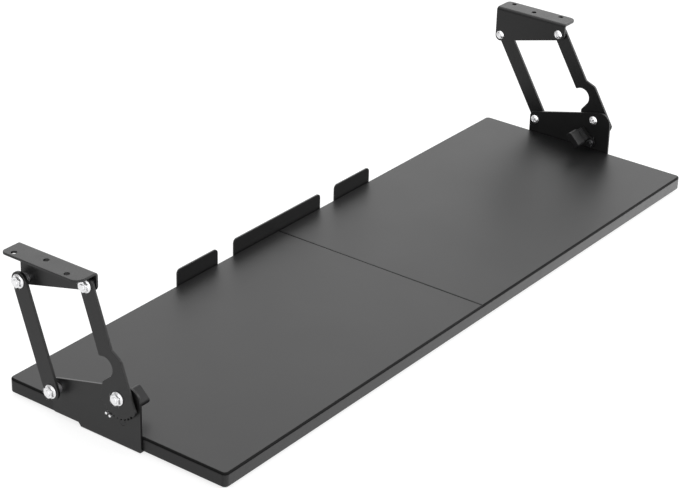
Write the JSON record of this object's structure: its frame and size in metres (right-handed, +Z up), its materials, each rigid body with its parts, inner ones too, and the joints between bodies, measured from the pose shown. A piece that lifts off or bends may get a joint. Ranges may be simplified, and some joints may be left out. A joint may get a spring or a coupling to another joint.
{
  "type": "under-desk keyboard tray",
  "caption": "Long flat keyboard tray that hangs under a desk on parallel-link swing arms, with screw-on desk brackets, notched height lock levers and upturned rear stops.",
  "frame": {"origin": "middle of the space that the part takes, at the height of the bracket flanges' undersides, which it stands on", "axes": "+X along the tray to its right end, +Y to the back, +Z up"},
  "size_m": [0.852, 0.264, 0.1672],
  "materials": {
    "laminate": "satin black laminate",
    "dowel_wood": "bare",
    "black_steel": "fine black powder coat",
    "black_screw": "blackened, satin",
    "bright_steel": "bright plated",
    "zinc_steel": "zinc plated",
    "spring_steel": "drawn wire",
    "grip_plastic": "moulded, matte"
  },
  "bodies": {
    "tray": {"left_board": "laminate", "right_board": "laminate", "seam_dowels": "dowel_wood", "rear_stop_plate": "black_steel", "stop_plate_screws": "black_screw", "front_joining_plate": "black_steel", "joining_plate_screws": "black_screw", "left_base_bracket": "black_steel", "left_bracket_screws": "black_screw", "left_front_lower_bolt": "bright_steel", "left_front_lower_nut": "bright_steel", "left_rear_lower_bolt": "bright_steel", "left_rear_lower_nut": "bright_steel", "left_front_lower_washer": "zinc_steel", "left_rear_lower_spacer": "zinc_steel", "left_lever_rivet": "black_screw", "left_lever_spring": "spring_steel", "right_base_bracket": "black_steel", "right_bracket_screws": "black_screw", "right_front_lower_bolt": "bright_steel", "right_front_lower_nut": "bright_steel", "right_rear_lower_bolt": "bright_steel", "right_rear_lower_nut": "bright_steel", "right_front_lower_washer": "zinc_steel", "right_rear_lower_spacer": "zinc_steel", "right_lever_rivet": "black_screw", "right_lever_spring": "spring_steel"},
    "left_front_link": {"left_front_link": "black_steel"},
    "left_rear_link": {"left_rear_link": "black_steel"},
    "left_desk_bracket": {"left_desk_bracket": "black_steel", "left_front_upper_bolt": "bright_steel", "left_front_upper_nut": "bright_steel", "left_rear_upper_bolt": "bright_steel", "left_rear_upper_nut": "bright_steel", "left_front_upper_washer": "zinc_steel", "left_rear_upper_spacer": "zinc_steel"},
    "left_lever": {"left_lever": "black_steel", "left_lever_grip": "grip_plastic", "left_lock_pins": "bright_steel"},
    "right_front_link": {"right_front_link": "black_steel"},
    "right_rear_link": {"right_rear_link": "black_steel"},
    "right_desk_bracket": {"right_desk_bracket": "black_steel", "right_front_upper_bolt": "bright_steel", "right_front_upper_nut": "bright_steel", "right_rear_upper_bolt": "bright_steel", "right_rear_upper_nut": "bright_steel", "right_front_upper_washer": "zinc_steel", "right_rear_upper_spacer": "zinc_steel"},
    "right_lever": {"right_lever": "black_steel", "right_lever_grip": "grip_plastic", "right_lock_pins": "bright_steel"}
  },
  "joints": [
    {"name": "left_arm_swing", "type": "hinge", "parent": "tray", "child": "left_front_link", "pos_m": [-0.406, -0.014, 0.0525], "axis": [1, 0, 0], "range_deg": [-24, 72]},
    {"name": "left_rear_link_swing", "type": "hinge", "parent": "tray", "child": "left_rear_link", "pos_m": [-0.4104, 0.064, 0.0325], "axis": [1, 0, 0], "range_deg": [-24, 72]},
    {"name": "left_desk_bracket_pivot", "type": "hinge", "parent": "left_front_link", "child": "left_desk_bracket", "pos_m": [-0.406, 0.02084, 0.15367], "axis": [1, 0, 0], "range_deg": [-72, 24]},
    {"name": "left_lever_press", "type": "hinge", "parent": "tray", "child": "left_lever", "pos_m": [-0.3985, -0.0145, 0.026], "axis": [1, 0, 0], "range_deg": [-2, 11], "stiffness_Nm_per_rad": 0.25},
    {"name": "right_arm_swing", "type": "hinge", "parent": "tray", "child": "right_front_link", "pos_m": [0.406, -0.014, 0.0525], "axis": [1, 0, 0], "range_deg": [-12, 84]},
    {"name": "right_rear_link_swing", "type": "hinge", "parent": "tray", "child": "right_rear_link", "pos_m": [0.4104, 0.064, 0.0325], "axis": [1, 0, 0], "range_deg": [-12, 84]},
    {"name": "right_desk_bracket_pivot", "type": "hinge", "parent": "right_front_link", "child": "right_desk_bracket", "pos_m": [0.406, 0.04111, 0.14422], "axis": [1, 0, 0], "range_deg": [-84, 12]},
    {"name": "right_lever_press", "type": "hinge", "parent": "tray", "child": "right_lever", "pos_m": [0.3985, -0.0145, 0.026], "axis": [1, 0, 0], "range_deg": [-2, 11], "stiffness_Nm_per_rad": 0.25}
  ],
  "couplings": [
    {"joint": "left_rear_link_swing", "follows": "left_arm_swing", "ratio": 1},
    {"joint": "left_desk_bracket_pivot", "follows": "left_arm_swing", "ratio": -1},
    {"joint": "right_rear_link_swing", "follows": "right_arm_swing", "ratio": 1},
    {"joint": "right_desk_bracket_pivot", "follows": "right_arm_swing", "ratio": -1}
  ]
}
